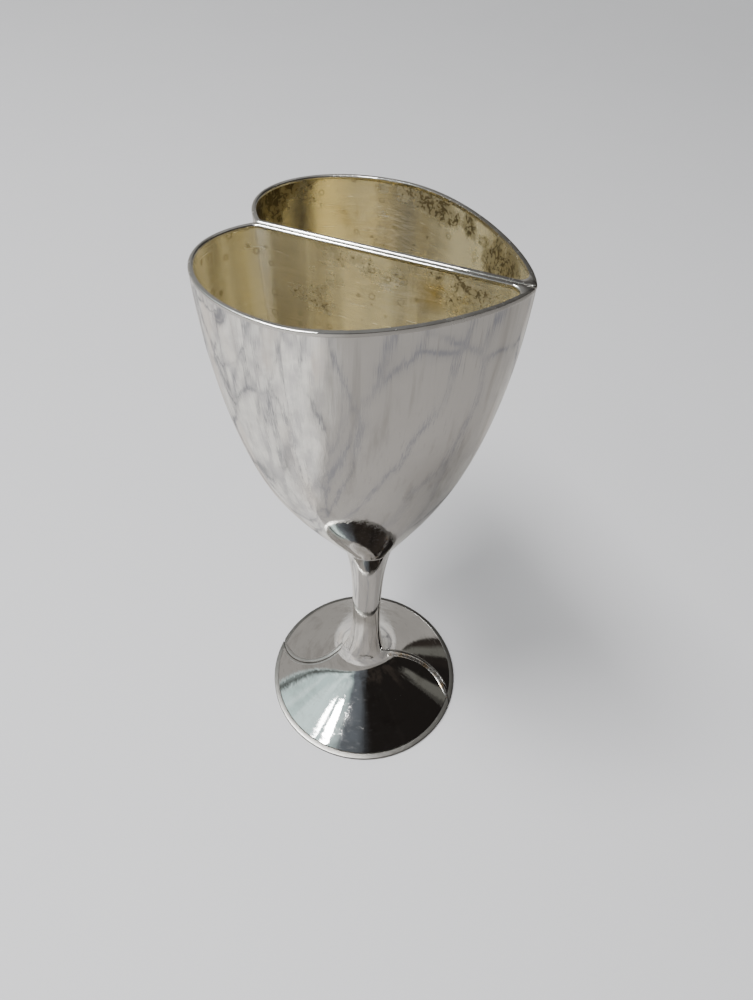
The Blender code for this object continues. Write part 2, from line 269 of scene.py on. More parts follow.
def capped_loft(name, rings, side, material):
    """A closed body through a stack of closed rings, with a fan at either end."""
    count = len(rings[0])
    points = np.concatenate(rings + [rings[0].mean(0)[None], rings[-1].mean(0)[None]])
    faces = between_rings(len(rings), count, False)
    first_centre, last_centre = len(points) - 2, len(points) - 1
    last = (len(rings) - 1) * count
    for i in range(count):
        j = (i + 1) % count
        faces.append((first_centre, j, i))
        faces.append((last_centre, last + i, last + j))
    return new_piece(name, turned_to_side(points, side), faces, material)


def ring_loft(name, sections, side, material):
    """A closed body through sections that come back to the first one."""
    faces = between_rings(len(sections), len(sections[0]), True)
    points = np.concatenate(sections)
    return new_piece(name, turned_to_side(points, side), faces, material)


# ------------------------------------------------------------------------- bowl and stem

def wall_heights(bottom, top):
    """Heights that lie closer together low down, where the bowl curves most."""
    shares = np.linspace(0, 1, WALL_LEVELS + 1) ** LOW_CROWDING
    return bottom + (top - bottom) * shares


def bowl_rings(bottom, top, inset, corner):
    return [at_height(rounded_loop(bowl_curve(height), inset, corner), height)
            for height in wall_heights(bottom, top)]


def floor_rings(inset, corner, height, radius):
    """Rings that turn from the upright wall to the flat floor of a bowl."""
    rings = []
    for i in range(1, FLOOR_LEVELS + 1):
        angle = math.pi / 2 * i / FLOOR_LEVELS
        extra = radius * (1 - math.cos(angle))
        z = height + radius * (1 - math.sin(angle))
        left = max(TIGHTEST_CORNER, corner - extra)
        rings.append(at_height(rounded_loop(bowl_curve(z), inset + extra, left), z))
    return rings


def make_bowl(side, material):
    """The silver of the bowl: a wall with a small round at its two upright edges."""
    top = TOTAL_HEIGHT - RIM_WIRE_RADIUS
    behind = SILVER_SHARE - GILDING_GAP
    rings = bowl_rings(STEM_TOP, top, 0.0, OUTER_CORNER)
    rings += bowl_rings(FLOOR_HEIGHT - 2 * GILDING_GAP, top, behind, OUTER_CORNER)[::-1]
    return capped_loft(side + "_bowl", rings, side, material)


def make_gilding(side, material):
    """The gilt lining of the bowl, with a round floor and round corners."""
    top = TOTAL_HEIGHT - RIM_WIRE_RADIUS
    rings = bowl_rings(FLOOR_HEIGHT - GILDING_GAP, top, SILVER_SHARE, OUTER_CORNER)
    wall_bottom = FLOOR_HEIGHT + FLOOR_ROUND
    rings += bowl_rings(wall_bottom, top, WALL_THICKNESS, INNER_CORNER)[::-1]
    rings += floor_rings(WALL_THICKNESS, INNER_CORNER, FLOOR_HEIGHT, FLOOR_ROUND)
    return capped_loft(side + "_gilding", rings, side, material)


def make_rim(side, material):
    """The bead round the mouth: round in section, and a flat lip in the heart's point."""
    radius = RIM_WIRE_RADIUS
    curve = bowl_curve(TOTAL_HEIGHT)
    outer = rounded_loop(curve, -RIM_PROUD, OUTER_CORNER, 2 * CURVE_POINTS)
    inner = rounded_loop(curve, RIM_WIDTH - RIM_PROUD, RIM_INNER_CORNER, 2 * CURVE_POINTS)
    across = inner - outer
    width = np.linalg.norm(across, axis=1)[:, None]
    across /= width
    straight = np.maximum(width - 2 * radius, 0) / 2
    middle = (outer + inner) / 2
    angles = np.linspace(0, 2 * math.pi, SECTION_POINTS, endpoint=False)
    sections = []
    for angle in angles:
        reach = np.sign(round(math.cos(angle), 6)) * straight + radius * math.cos(angle)
        height = TOTAL_HEIGHT - radius + radius * math.sin(angle)
        sections.append(at_height(middle + reach * across, height))
    return ring_loft(side + "_rim", sections, side, material)


def make_stem(side, material):
    """Half of the round stem, with its two long edges eased."""
    rings = []
    for i in range(STEM_LEVELS + 1):
        height = HUB_HEIGHT + (STEM_TOP - HUB_HEIGHT) * i / STEM_LEVELS
        loop = rounded_loop(half_circle(stem_radius(height)), 0.0, STEM_CORNER, ARC_POINTS,
                            STEM_SETBACK)
        rings.append(at_height(loop, height))
    return capped_loft(side + "_half_stem", rings, side, material)


# ------------------------------------------------------------------------------ the foot

def joint_arc():
    """Radius and centre of the arc of the S-shaped joint at +X."""
    half_chord = (FOOT_RADIUS - HUB_RADIUS) / 2
    radius = (half_chord**2 + JOINT_BULGE**2) / (2 * JOINT_BULGE)
    return radius, (HUB_RADIUS + half_chord, JOINT_BULGE - radius)


def joint_angle(radius, inset):
    """Where the joint at +X, moved by inset towards -Y, is at a distance from the centre."""
    arc_radius, centre = joint_arc()
    if radius <= HUB_RADIUS:
        return -math.asin(inset / radius)
    bent = arc_radius - inset
    far = math.hypot(*centre)
    reach = (radius**2 - far**2 - bent**2) / (2 * bent * far)
    angle = math.asin(max(-1, min(1, reach))) - math.atan2(centre[1], centre[0])
    return math.atan2(centre[1] + bent * math.cos(angle), centre[0] + bent * math.sin(angle))


def foot_points(radii, heights, share):
    """Points of a section of the half foot at +Y, at a share of the way round it."""
    points = []
    for radius, height in zip(radii, heights):
        first = joint_angle(radius, -GAP / 2)
        last = math.pi + joint_angle(radius, GAP / 2)
        angle = first + (last - first) * share
        points.append((radius * math.cos(angle), radius * math.sin(angle), height))
    return np.array(points)


def placed_foot(points, side):
    """The back foot is drawn at its place; the front one is the same, turned half round."""
    turn = 1 if side == "back" else -1
    return points * np.array([turn, turn, 1])


def foot_body(name, radii, heights, side, material, strip):
    """A section swept from one arm of the joint to the other and closed at both ends: by a
    strip of quads if it is a long thin one, or else by one face."""
    sections = [foot_points(radii, heights, i / FOOT_TURNS) for i in range(FOOT_TURNS + 1)]
    count = len(radii)
    faces = between_rings(len(sections), count, False)
    last = FOOT_TURNS * count
    if strip:
        for i in range(count // 2 - 1):
            j = count - 1 - i
            faces.append((i, j, j - 1, i + 1))
            faces.append((last + i, last + i + 1, last + j - 1, last + j))
    else:
        faces.append(tuple(range(count)))
        faces.append(tuple(last + i for i in range(count)))
    points = placed_foot(np.concatenate(sections), side)
    return new_piece(name, points, faces, material)


def shell_section():
    """The foot's outer surface from the centre to its edge, then its underside back."""
    t = np.linspace(0, 1, FOOT_LEVELS)
    curve = bezier(FOOT_CURVE, t)
    along = bezier(FOOT_CURVE, t + TANGENT_STEP) - bezier(FOOT_CURVE, t - TANGENT_STEP)
    along /= np.linalg.norm(along, axis=1)[:, None]
    under = curve + SHELL_THICKNESS * np.stack([along[:, 1], -along[:, 0]], 1)
    hub_radii = np.linspace(HUB_OPENING, 1, HUB_LEVELS, endpoint=False) * HUB_RADIUS
    hub = np.stack([hub_radii, np.full(HUB_LEVELS, HUB_HEIGHT)], 1)
    hub_under = np.stack([hub_radii * under[0, 0] / HUB_RADIUS,
                          np.full(HUB_LEVELS, under[0, 1])], 1)
    return np.concatenate([hub, curve]), np.concatenate([hub_under, under])


def make_foot_shell(side, material):
    outer, under = shell_section()
    outer[-1, 1] = SHELL_EDGE_TOP
    under[-1] = (SHELL_RADIUS, SHELL_EDGE_BOTTOM)
    ring = np.concatenate([outer, under[::-1]])
    return foot_body(side + "_half_foot", ring[:, 0], ring[:, 1], side, material, True)


def make_foot_flange(side, material):
    """The low edge ring, sloping slightly outwards, with its edges eased."""
    inner = SHELL_RADIUS + RING_CLEARANCE
    outer_top = RING_HEIGHT - RING_FALL
    section = [(inner, 0.0)]
    for angle in np.linspace(0, math.pi / 2, EDGE_POINTS):
        section.append((inner + RING_EDGE * (1 - math.cos(angle)),
                        RING_HEIGHT - RING_EDGE * (1 - math.sin(angle))))
    for angle in np.linspace(math.pi / 2, 0, EDGE_POINTS):
        section.append((FOOT_RADIUS - RING_EDGE * (1 - math.cos(angle)),
                        outer_top - RING_EDGE * (1 - math.sin(angle))))
    section += [(FOOT_RADIUS, RING_UNDERCUT),
                (FOOT_RADIUS - RING_UNDERCUT / 3, RING_UNDERCUT / 3),
                (FOOT_RADIUS - RING_UNDERCUT, 0.0)]
    radii, heights = zip(*section)
    return foot_body(side + "_foot_flange", radii, heights, side, material, False)


def foot_height(radius):
    """Height of the foot's upper surface at a distance from its centre."""
    curve = bezier(FOOT_CURVE, np.linspace(0, 1, HEIGHT_SAMPLES))
    on_shell = np.interp(radius, curve[:, 0], curve[:, 1])
    return np.maximum(on_shell, RING_HEIGHT)


def bead_path(arm, half_width, rise):
    """The middle of a bead: along one arm of the joint, with its ends under the surface."""
    radii = np.linspace(BEAD_START, BEAD_END, BEAD_STATIONS)
    inset = GAP / 2 + half_width
    to_end = np.minimum(radii - BEAD_START, BEAD_END - radii) / BEAD_FADE
    dive = rise * (1 - np.sin(math.pi / 2 * np.clip(to_end, 0, 1)))
    points = []
    for radius, lower in zip(radii, dive):
        if arm == "lobe":
            angle = math.pi + joint_angle(radius, inset)
        else:
            angle = joint_angle(radius, -inset)
        height = foot_height(radius) - BEAD_SINK - lower
        points.append((radius * math.cos(angle), radius * math.sin(angle), height))
    return np.array(points)


def make_bead(side, arm, material):
    """A low bead along one arm of the joint."""
    half_width, rise = BEAD_SIZES[arm]
    path = bead_path(arm, half_width, rise)
    along = np.gradient(path, axis=0)
    along /= np.linalg.norm(along, axis=1)[:, None]
    beside = np.cross(along, (0, 0, 1))
    beside /= np.linalg.norm(beside, axis=1)[:, None]
    above = np.cross(beside, along)
    angles = np.linspace(0, 2 * math.pi, SECTION_POINTS, endpoint=False)
    sideways = half_width * np.cos(angles)
    upwards = np.where(np.sin(angles) > 0, rise, BEAD_DEPTH) * np.sin(angles)
    rings = []
    for place, side_way, up_way in zip(path, beside, above):
        outline = np.outer(sideways, side_way) + np.outer(upwards, up_way)
        rings.append(placed_foot(place + outline, side))
    # placed_foot has turned the rings already, so the loft leaves them where they are
    return capped_loft(f"{side}_{arm}_bead", rings, "back", material)


# ----------------------------------------------------------------------------- materials

def add_node(tree, kind, inputs=(), **settings):
    """A shader node with its settings; inputs are (name, value or socket) pairs."""
    made = tree.nodes.new("ShaderNode" + kind)
    for name, value in settings.items():
        setattr(made, name, value)
    for name, value in inputs:
        if isinstance(value, bpy.types.NodeSocket):
            tree.links.new(value, made.inputs[name])
        else:
            made.inputs[name].default_value = value
    return made


def calculate(tree, operation, *values):
    """The values joined by a Math operation, from the first to the last."""
    result = values[0]
    for value in values[1:]:
        node = add_node(tree, "Math", [(0, result), (1, value)], operation=operation)
        result = node.outputs[0]
    return result


def product(tree, *factors):
    return calculate(tree, "MULTIPLY", *factors)


def applied(tree, function, value):
    return add_node(tree, "Math", [(0, value)], operation=function).outputs[0]


def ramp(tree, value, low, high, to_low=0.0, to_high=1.0):
    """A value between low and high, stretched smoothly to another range and clamped."""
    stretched = add_node(tree, "MapRange", [("Value", value), ("From Min", low), ("From Max", high),
                                            ("To Min", to_low), ("To Max", to_high)],
                         interpolation_type="SMOOTHSTEP")
    return stretched.outputs["Result"]


def band(tree, value, low, full, fading, high):
    """0 below low, 1 from full to fading, and 0 again above high."""
    return product(tree, ramp(tree, value, low, full), ramp(tree, value, fading, high, 1, 0))


def mix_colours(tree, share, a, b):
    """Colour a where the share is 0 and colour b where it is 1."""
    mix = add_node(tree, "Mix", [(0, share)], data_type="RGBA")
    for place, colour in (("A_Color", a), ("B_Color", b)):
        entry = next(socket for socket in mix.inputs if socket.identifier == place)
        if isinstance(colour, bpy.types.NodeSocket):
            tree.links.new(colour, entry)
        else:
            entry.default_value = (*colour, 1)
    return next(socket for socket in mix.outputs if socket.identifier == "Result_Color")


def scaled(tree, vector, scale):
    return add_node(tree, "VectorMath", [(0, vector), (1, scale)], operation="MULTIPLY").outputs[0]


def noise(tree, vector, scale, detail=2.0, roughness=0.5, distortion=0.0):
    """Noise about `scale` cells to the metre, from 0 to 1."""
    return add_node(tree, "TexNoise", [("Vector", vector), ("Scale", scale), ("Detail", detail),
                                       ("Roughness", roughness), ("Distortion", distortion)])


def bump(tree, height, distance, strength, normal=None):
    made = add_node(tree, "Bump", [("Height", height), ("Distance", distance),
                                   ("Strength", strength)])
    if normal is not None:
        tree.links.new(normal, made.inputs["Normal"])
    return made.outputs[0]


def new_material(name):
    material = bpy.data.materials.new(name)
    material.use_nodes = True
    tree = material.node_tree
    return material, tree, tree.nodes["Principled BSDF"]


def plain_material(name, colour, roughness):
    material, _, shader = new_material(name)
    shader.inputs["Base Color"].default_value = (*colour, 1)
    shader.inputs["Roughness"].default_value = roughness
    return material


BRIGHT_SILVER = (0.94, 0.925, 0.90)
DULL_SILVER = (0.60, 0.58, 0.55)
WORN_SILVER = (0.76, 0.745, 0.71)
AGED_SILVER = (0.50, 0.487, 0.465)
AGED_DULL = (0.36, 0.348, 0.33)
EDGE_SILVER = (0.27, 0.262, 0.245)
EDGE_DULL = (0.19, 0.183, 0.17)


def polished_silver(name, line_stretch, wave_height, roughness, bright=BRIGHT_SILVER,
                    dull=DULL_SILVER):
    """Bright silver plate: a faint haze, fine lines from polishing, dull streaks and soft dents. The
    dull streaks are partly tarnish and partly a painted reflection of dark lines in the floor below.
    """
    material, tree, shader = new_material(name)
    place = add_node(tree, "TexCoord").outputs["Object"]
    stretched = scaled(tree, place, line_stretch)
    haze = noise(tree, place, 45, 5, 0.6).outputs[0]
    lines = noise(tree, stretched, 1500, 3, 0.6).outputs[0]
    streaks = noise(tree, stretched, 320, 4, 0.6).outputs[0]
    smudge = noise(tree, place, 170, 3, 0.55).outputs[0]
    dents = noise(tree, place, 38, 1.5, 0.4).outputs[0]
    hazy = ramp(tree, haze, 0.42, 0.75, 0.0, 0.3)
    # dull streaks: partly tarnish, partly painted reflection of dark lines in the floor
    streaks_and_painted_veins = ramp(tree, streaks, 0.46, 0.72, 0.0, 0.6)
    scored = ramp(tree, lines, 0.56, 0.74, 0.0, 0.35)
    share = calculate(tree, "MAXIMUM", hazy, streaks_and_painted_veins, scored)
    tree.links.new(mix_colours(tree, share, bright, dull), shader.inputs["Base Color"])
    rough = calculate(tree, "ADD", ramp(tree, smudge, 0.4, 0.75, roughness, roughness + 0.05),
                      ramp(tree, lines, 0.5, 0.8, 0.0, 0.10))
    tree.links.new(rough, shader.inputs["Roughness"])
    waves = bump(tree, dents, 0.0006, 0.12)
    waves = bump(tree, streaks, wave_height, 0.35, waves)
    tree.links.new(bump(tree, lines, 0.00003, 0.35, waves), shader.inputs["Normal"])
    shader.inputs["Metallic"].default_value = 1.0
    return material


# warm colour of the painted glints
WARM_GLINT_COLOUR = (0.62, 0.42, 0.20)


def silver_with_painted_glints():
    """Silver plate for the raised beads, with warm brass-coloured patches that paint in warm glints
    reflected from the room.
    """
    material, tree, shader = new_material("silver_painted_warm_glints")
    place = add_node(tree, "TexCoord").outputs["Object"]
    patches = noise(tree, place, 260, 5, 0.65).outputs[0]
    grain = noise(tree, place, 1600, 4, 0.6).outputs[0]
    # the brass-coloured patches are painted glints
    share = ramp(tree, patches, 0.44, 0.62, 0.0, 0.8)
    tree.links.new(mix_colours(tree, share, BRIGHT_SILVER, WARM_GLINT_COLOUR), shader.inputs["Base Color"])
    tree.links.new(ramp(tree, grain, 0.3, 0.7, 0.22, 0.36), shader.inputs["Roughness"])
    tree.links.new(bump(tree, grain, 0.00002, 0.4), shader.inputs["Normal"])
    shader.inputs["Metallic"].default_value = 1.0
    return material


PALE_GILT = (1.0, 0.91, 0.60)
DEEP_GILT = (0.42, 0.38, 0.265)
AMBER = (0.54, 0.39, 0.11)
# near-white gilt of the painted glare bands
PAINTED_GLARE_GILT = (1.0, 0.965, 0.84)
OLIVE = (0.27, 0.225, 0.12)
TARNISH = (0.085, 0.065, 0.032)
CREAM = (1.0, 0.97, 0.86)

# Places of the marks in millimetres: x, y, z, radius and strength
DARK_MARKS = [
    (-32, 9, 167, 10, 1.35), (-31, 15, 169, 9.5, 1.35), (-29, 20, 170, 8.5, 1.3),
    (-26, 23.5, 170, 8, 1.1), (-31, 15, 164, 5, 1.0), (-26, 23.5, 165.5, 6, 0.8),
    (-11, 29.7, 168.5, 4, 0.7), (-5, 30, 168, 5, 0.8), (0, 29.3, 166.7, 7, 1.0),
    (4, 27.8, 166.5, 6, 0.9), (7.5, 25.7, 166, 7, 1.0), (12, 23, 166, 8, 1.0),
    (14, 21.5, 162.5, 7, 0.95), (18.5, 17.5, 163.5, 11, 1.0), (22, 14, 163.5, 9, 1.0),
    (25.5, 10, 166, 7, 0.95), (-10.5, 29.7, 162, 4, 0.75),
    (-28, -2.3, 165.5, 3.2, 0.95), (-25.5, -1.1, 165, 3.2, 0.95), (-27, -1.8, 162, 3, 0.7),
    (-14, -1.1, 163, 4, 0.9), (-10, -1.1, 165, 10, 0.8), (-18, -1.1, 157, 5, 0.75),
    (-13, -1.1, 157, 9, 0.72), (-3, -1.1, 167, 9, 0.8), (3, -1.1, 164, 7, 0.7),
    (12, -1.1, 168, 6, 0.8), (17, -1.1, 167, 6, 0.85), (16, -1.1, 164.5, 6, 0.8),
    (21, -1.1, 165.5, 6.5, 0.85), (25.5, -1.1, 167, 5, 0.8),
]
AMBER_MARKS = [
    (-3, -1.1, 166.5, 10, 0.45), (13, -1.1, 165, 7, 1.0), (17.5, -1.1, 163.5, 5, 0.7),
    (-18, 28.2, 162, 7, 0.75), (-16, 28.6, 158, 5, 0.6), (21, 15, 163, 9, 0.5),
]
SCRATCH_MARKS = [(-9, 29.6, 160, 11, 1.0), (5, -1.1, 161, 10, 0.9), (-24, 24, 154, 7, 0.5)]
# Upright bands of painted highlight and painted glare in the lining, in millimetres: x, y, radius and
# strength
PAINTED_HIGHLIGHT_BANDS = [(-20.5, 27.2, 10, 1.4), (11, 24.5, 9, 0.8), (-33, -12, 17, 1.2),
              (-26.8, -2, 4.5, 1.3), (-3, -1.1, 13, 0.9)]
PAINTED_GLARE_BANDS = [(-33, -13, 18, 0.9), (-26.8, -2, 4.5, 0.9)]
# Upright bands of painted shade in the lining, with the same columns
PAINTED_SHADE_BANDS = [(-30, 18, 11, 1.1), (-3, 29.7, 12, 0.9), (-20, -1.1, 8, 0.65),
              (-12, -1.1, 6, 0.35), (24, -1.1, 10, 0.5), (25, 10, 8, 0.5)]


def marks(tree, place, spots):
    """1 in the middle of each spot times its strength, and 0 outside them."""
    total = None
    for x, y, z, radius, strength in spots:
        away = add_node(tree, "VectorMath", [(0, place), (1, (x * MM, y * MM, z * MM))],
                        operation="DISTANCE").outputs["Value"]
        spot = ramp(tree, away, 0, radius * MM, strength, 0)
        total = spot if total is None else calculate(tree, "MAXIMUM", total, spot)
    return total


def upright_bands(tree, place, bands):
    """Marks that run the whole height: x, y, radius and strength."""
    flat = scaled(tree, place, (1, 1, 0))
    return marks(tree, flat, [(x, y, 0, radius, strength) for x, y, radius, strength in bands])


def dried_drops(tree, place):
    """Small rings here and there, where drops have dried."""
    cells = add_node(tree, "TexVoronoi", [("Vector", place), ("Scale", 300)])
    away = cells.outputs["Distance"]
    lot = add_node(tree, "SeparateColor", [(0, cells.outputs["Color"])]).outputs[0]
    return product(tree, ramp(tree, lot, 0.55, 0.6), band(tree, away, 0.14, 0.19, 0.22, 0.28))


def gilding_tones(tree, place, mottle):
    """Gilt tones: deeper where random mottling and upright streaks fall and in soft upright bands of
    painted reflection and painted shade, paler in painted highlight bands, near white in painted
    glare bands, and amber in places.
    """
    # soft upright bands of painted reflection, light and dark, as brushed gilding mirrors the room
    bands = noise(tree, scaled(tree, place, (1, 1, 0.08)), 90, 3, 0.5).outputs[0]
    upright = noise(tree, scaled(tree, place, (1, 1, 0.12)), 260, 4, 0.6).outputs[0]
    # random mottling and streaks, the painted reflection bands and the painted shade bands deepen the
    # tone
    deep = calculate(tree, "ADD", ramp(tree, bands, 0.40, 0.62, 0.0, 0.55),
                     ramp(tree, upright, 0.40, 0.70, 0.0, 0.5),
                     ramp(tree, mottle, 0.42, 0.72, 0.0, 0.45),
                     upright_bands(tree, place, PAINTED_SHADE_BANDS))
    # painted highlight bands make the tone paler
    deep = calculate(tree, "SUBTRACT", deep, upright_bands(tree, place, PAINTED_HIGHLIGHT_BANDS))
    colour = mix_colours(tree, ramp(tree, deep, -0.3, 1.3), PALE_GILT, DEEP_GILT)
    # painted glare bands turn it near white
    colour = mix_colours(tree, upright_bands(tree, place, PAINTED_GLARE_BANDS), colour, PAINTED_GLARE_GILT)
    amber = product(tree, marks(tree, place, AMBER_MARKS), ramp(tree, mottle, 0.38, 0.60))
    return mix_colours(tree, amber, colour, AMBER)


def tarnish_shares(tree, place, mottle):
    """How far the gilding has turned brown, and how far a dark crust covers it."""
    grain = noise(tree, place, 1000, 8, 0.8).outputs[0]
    specks = noise(tree, place, 900, 2, 0.5).outputs[0]
    crust = noise(tree, place, 420, 3, 0.55, 0.8).outputs[0]
    fine_grain = ramp(tree, grain, 0.25, 0.75)
    marked = product(tree, marks(tree, place, DARK_MARKS), 0.55)
    blotch = calculate(tree, "ADD", marked, ramp(tree, mottle, 0.3, 0.7, 0.0, 0.45))
    browned = calculate(tree, "ADD", blotch, product(tree, fine_grain, 0.15))
    brown = ramp(tree, browned, 0.56, 0.76, 0.0, 0.75)
    off_middle = applied(tree, "ABSOLUTE", calculate(tree, "SUBTRACT", crust, 0.5))
    spotted = calculate(tree, "ADD", product(tree, blotch, 0.7),
                        ramp(tree, off_middle, 0.0, 0.09, 0.17, 0.0),
                        product(tree, fine_grain, 0.32))
    stained = ramp(tree, spotted, 0.71, 0.84, 0.0, 0.9)
    speck = product(tree, ramp(tree, specks, 0.66, 0.72, 0.0, 0.7), ramp(tree, mottle, 0.45, 0.6))
    return brown, calculate(tree, "MAXIMUM", stained, speck)


def satin_gilt():
    """Brushed gilding: fine lines round the bowl, mottling, specks and brown tarnish."""
    material, tree, shader = new_material("satin_gilt")
    place = add_node(tree, "TexCoord").outputs["Object"]
    round_lines = noise(tree, scaled(tree, place, (0.05, 0.05, 1)), 2600, 2, 0.6).outputs[0]
    scratch_lines = noise(tree, scaled(tree, place, (0.1, 0.1, 1)), 4600, 2, 0.5).outputs[0]
    mottle = noise(tree, place, 100, 6, 0.68).outputs[0]
    scratched = product(tree, marks(tree, place, SCRATCH_MARKS),
                        ramp(tree, scratch_lines, 0.50, 0.62))
    brown, stained = tarnish_shares(tree, place, mottle)

    colour = gilding_tones(tree, place, mottle)
    colour = mix_colours(tree, brown, colour, OLIVE)
    colour = mix_colours(tree, stained, colour, TARNISH)
    colour = mix_colours(tree, product(tree, dried_drops(tree, place), 0.5), colour, OLIVE)
    colour = mix_colours(tree, product(tree, scratched, 0.4), colour, CREAM)
    tree.links.new(colour, shader.inputs["Base Color"])

    rough = calculate(tree, "ADD", ramp(tree, round_lines, 0.3, 0.8, 0.20, 0.28),
                      product(tree, brown, 0.2))
    tree.links.new(rough, shader.inputs["Roughness"])
    fine = bump(tree, round_lines, 0.00001, 0.15)
    cut = bump(tree, scratched, 0.00002, 0.5, fine)
    tree.links.new(bump(tree, stained, 0.00004, 0.5, cut), shader.inputs["Normal"])
    shader.inputs["Metallic"].default_value = 0.85
    shader.inputs["Anisotropic"].default_value = 0.75
    shader.inputs["Anisotropic Rotation"].default_value = 0.25
    around = add_node(tree, "Tangent", direction_type="RADIAL", axis="Z").outputs[0]
    tree.links.new(around, shader.inputs["Tangent"])
    return material


UPRIGHT = (1, 1, 0.045)         # stretches noise into lines that run up and down
ROUND = (0.3, 0.3, 1)           # and into lines that run round the axis
SOFTLY_ROUND = (0.5, 0.5, 1)    # the same, but shorter

upright_silver = polished_silver("silver_upright_lines", UPRIGHT, 0.18 * MM, 0.03)
turned_silver = polished_silver("silver_turned_lines", ROUND, 0.02 * MM, 0.025)
worn_silver = polished_silver("silver_worn", SOFTLY_ROUND, 0.08 * MM, 0.2, WORN_SILVER)
edge_silver = polished_silver("silver_edge", ROUND, 0.03 * MM, 0.3, EDGE_SILVER, EDGE_DULL)
bead_silver = polished_silver("silver_bead", ROUND, 0.03 * MM, 0.3, AGED_SILVER, AGED_DULL)
glinting_silver = silver_with_painted_glints()
gilt = satin_gilt()


# ---------------------------------------------------------------------------- the object

def fit(piece, side, slot, *nodes):
    """Put a piece on the goblet it rides on and hide the CAD nodes it stands for; the slot, its
    finish, is not used.
    """
    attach(piece, side + "_goblet")
    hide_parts(*[side + "_" + node for node in nodes])


for side in ("front", "back"):
    fit(make_bowl(side, upright_silver), side, "silver_plate", "bowl_wall")
    fit(make_gilding(side, gilt), side, "gilding", "bowl_divider")
    fit(make_rim(side, worn_silver), side, "silver_plate", "rim_wire")
    fit(make_stem(side, upright_silver), side, "silver_plate", "stem")
    fit(make_foot_shell(side, turned_silver), side, "silver_plate", "foot_shell")
    fit(make_foot_flange(side, edge_silver), side, "silver_plate", "foot_ring")
    # the front goblet's lobe bead carries the painted warm glints
    lobe_silver = glinting_silver if side == "front" else bead_silver
    fit(make_bead(side, "lobe", lobe_silver), side, "silver_plate", "foot_lobe_bead")
    fit(make_bead(side, "horn", bead_silver), side, "silver_plate", "foot_horn_bead")


# ------------------------------------------------------------------------------ the stage

FLOOR_SPAN = 8.0
GLOW_START = 0.4                # distances over which the far floor starts to shine
GLOW_FULL = 3.2
FLOOR_COLOUR = (0.375, 0.371, 0.381)
CLOTH_LIFT = 0.05 * MM
FOLD_SPREAD = 0.14              # how wide the fan of long folds is in the noise's space
FOLD_STRETCH = 0.45             # less than 1 draws the folds out away from the object
CLOTH_PALE = (0.333, 0.324, 0.306)
CLOTH_GREY = (0.221, 0.213, 0.213)
CLOTH_WARM = (0.279, 0.25, 0.225)
# colour of the painted shadow on the cloth
CLOTH_PAINTED_SHADOW = (0.122, 0.114, 0.108)
CLOTH_LINE = (0.057, 0.057, 0.067)

WALLS = (0.33, 0.317, 0.30)
DARK_ROOM = (0.015, 0.013, 0.012)
DIM_CORNER = (0.034, 0.028, 0.024)
PALE_CURTAIN = (0.13, 0.128, 0.115)
BACKDROP = (0.24, 0.24, 0.235)
WINDOW = (0.98, 1.2, 1.2)
WINDOW_SHADE = (0.66, 0.86, 0.85)
WINDOW_SIDE = (0.13, 0.145, 0.165)
WINDOW_RAIL = (0.10, 0.11, 0.105)
CEILING = (0.44, 0.44, 0.43)
BACKGROUND = (0.78, 0.78, 0.79)
HORIZON_TILT = 0.229            # how steeply the top of the low walls rises towards -X

AIM = Vector((0, 0, 0.03))      # what the lights point at


def fold_lines(tree, place, strength):
    """Dark lines with soft sides along the edges of cells."""
    net = add_node(tree, "TexVoronoi", [("Vector", place), ("Scale", 14)],
                   feature="DISTANCE_TO_EDGE").outputs["Distance"]
    return calculate(tree, "ADD", ramp(tree, net, 0.0, 0.04, 0.7 * strength, 0),
                     ramp(tree, net, 0, 0.12, 0.3 * strength, 0))


def cloth_folds(tree, place, bent):
    """Long folds that fan out from the object, short ones at its left, both broken up."""
    across, along, _ = add_node(tree, "SeparateXYZ", [(0, bent)]).outputs
    turn = product(tree, calculate(tree, "ARCTAN2", across, along), FOLD_SPREAD)
    away = add_node(tree, "VectorMath", [(0, bent)], operation="LENGTH").outputs["Value"]
    rays = add_node(tree, "CombineXYZ", [(0, turn), (1, away)]).outputs[0]
    long_folds = fold_lines(tree, scaled(tree, rays, (1, FOLD_STRETCH, 1)), 0.9)
    short_folds = product(tree, fold_lines(tree, scaled(tree, bent, (1.25, 0.5, 1)), 1.0),
                          ramp(tree, across, -0.07, 0.03, 1, 0))
    broken = ramp(tree, noise(tree, place, 13, 3).outputs[0], 0.36, 0.56, 0.25, 0.95)
    return product(tree, calculate(tree, "MAXIMUM", long_folds, short_folds), broken)


def cloth_ground(tree, place, bent):
    """Pale, grey and warm mottling, with a painted shadow that darkens it where it lies at the
    object's right.
    """
    cloud = noise(tree, place, 30, 7, 0.72).outputs[0]
    plaster = noise(tree, place, 150, 6, 0.7, 0.6).outputs[0]
    warm = ramp(tree, noise(tree, place, 9, 2).outputs[0], 0.48, 0.64, 0.0, 0.7)
    base = mix_colours(tree, ramp(tree, cloud, 0.38, 0.60), CLOTH_GREY, CLOTH_PALE)
    base = mix_colours(tree, warm, base, CLOTH_WARM)
    base = mix_colours(tree, ramp(tree, plaster, 0.52, 0.66, 0.0, 0.4), base, CLOTH_GREY)
    across, along, _ = add_node(tree, "SeparateXYZ", [(0, bent)]).outputs
    angle = calculate(tree, "ARCTAN2", across, along)
    # painted shadow on the cloth at the object's right
    return mix_colours(tree, band(tree, angle, 0.3, 1.2, 2.45, 3.0), base, CLOTH_PAINTED_SHADOW)


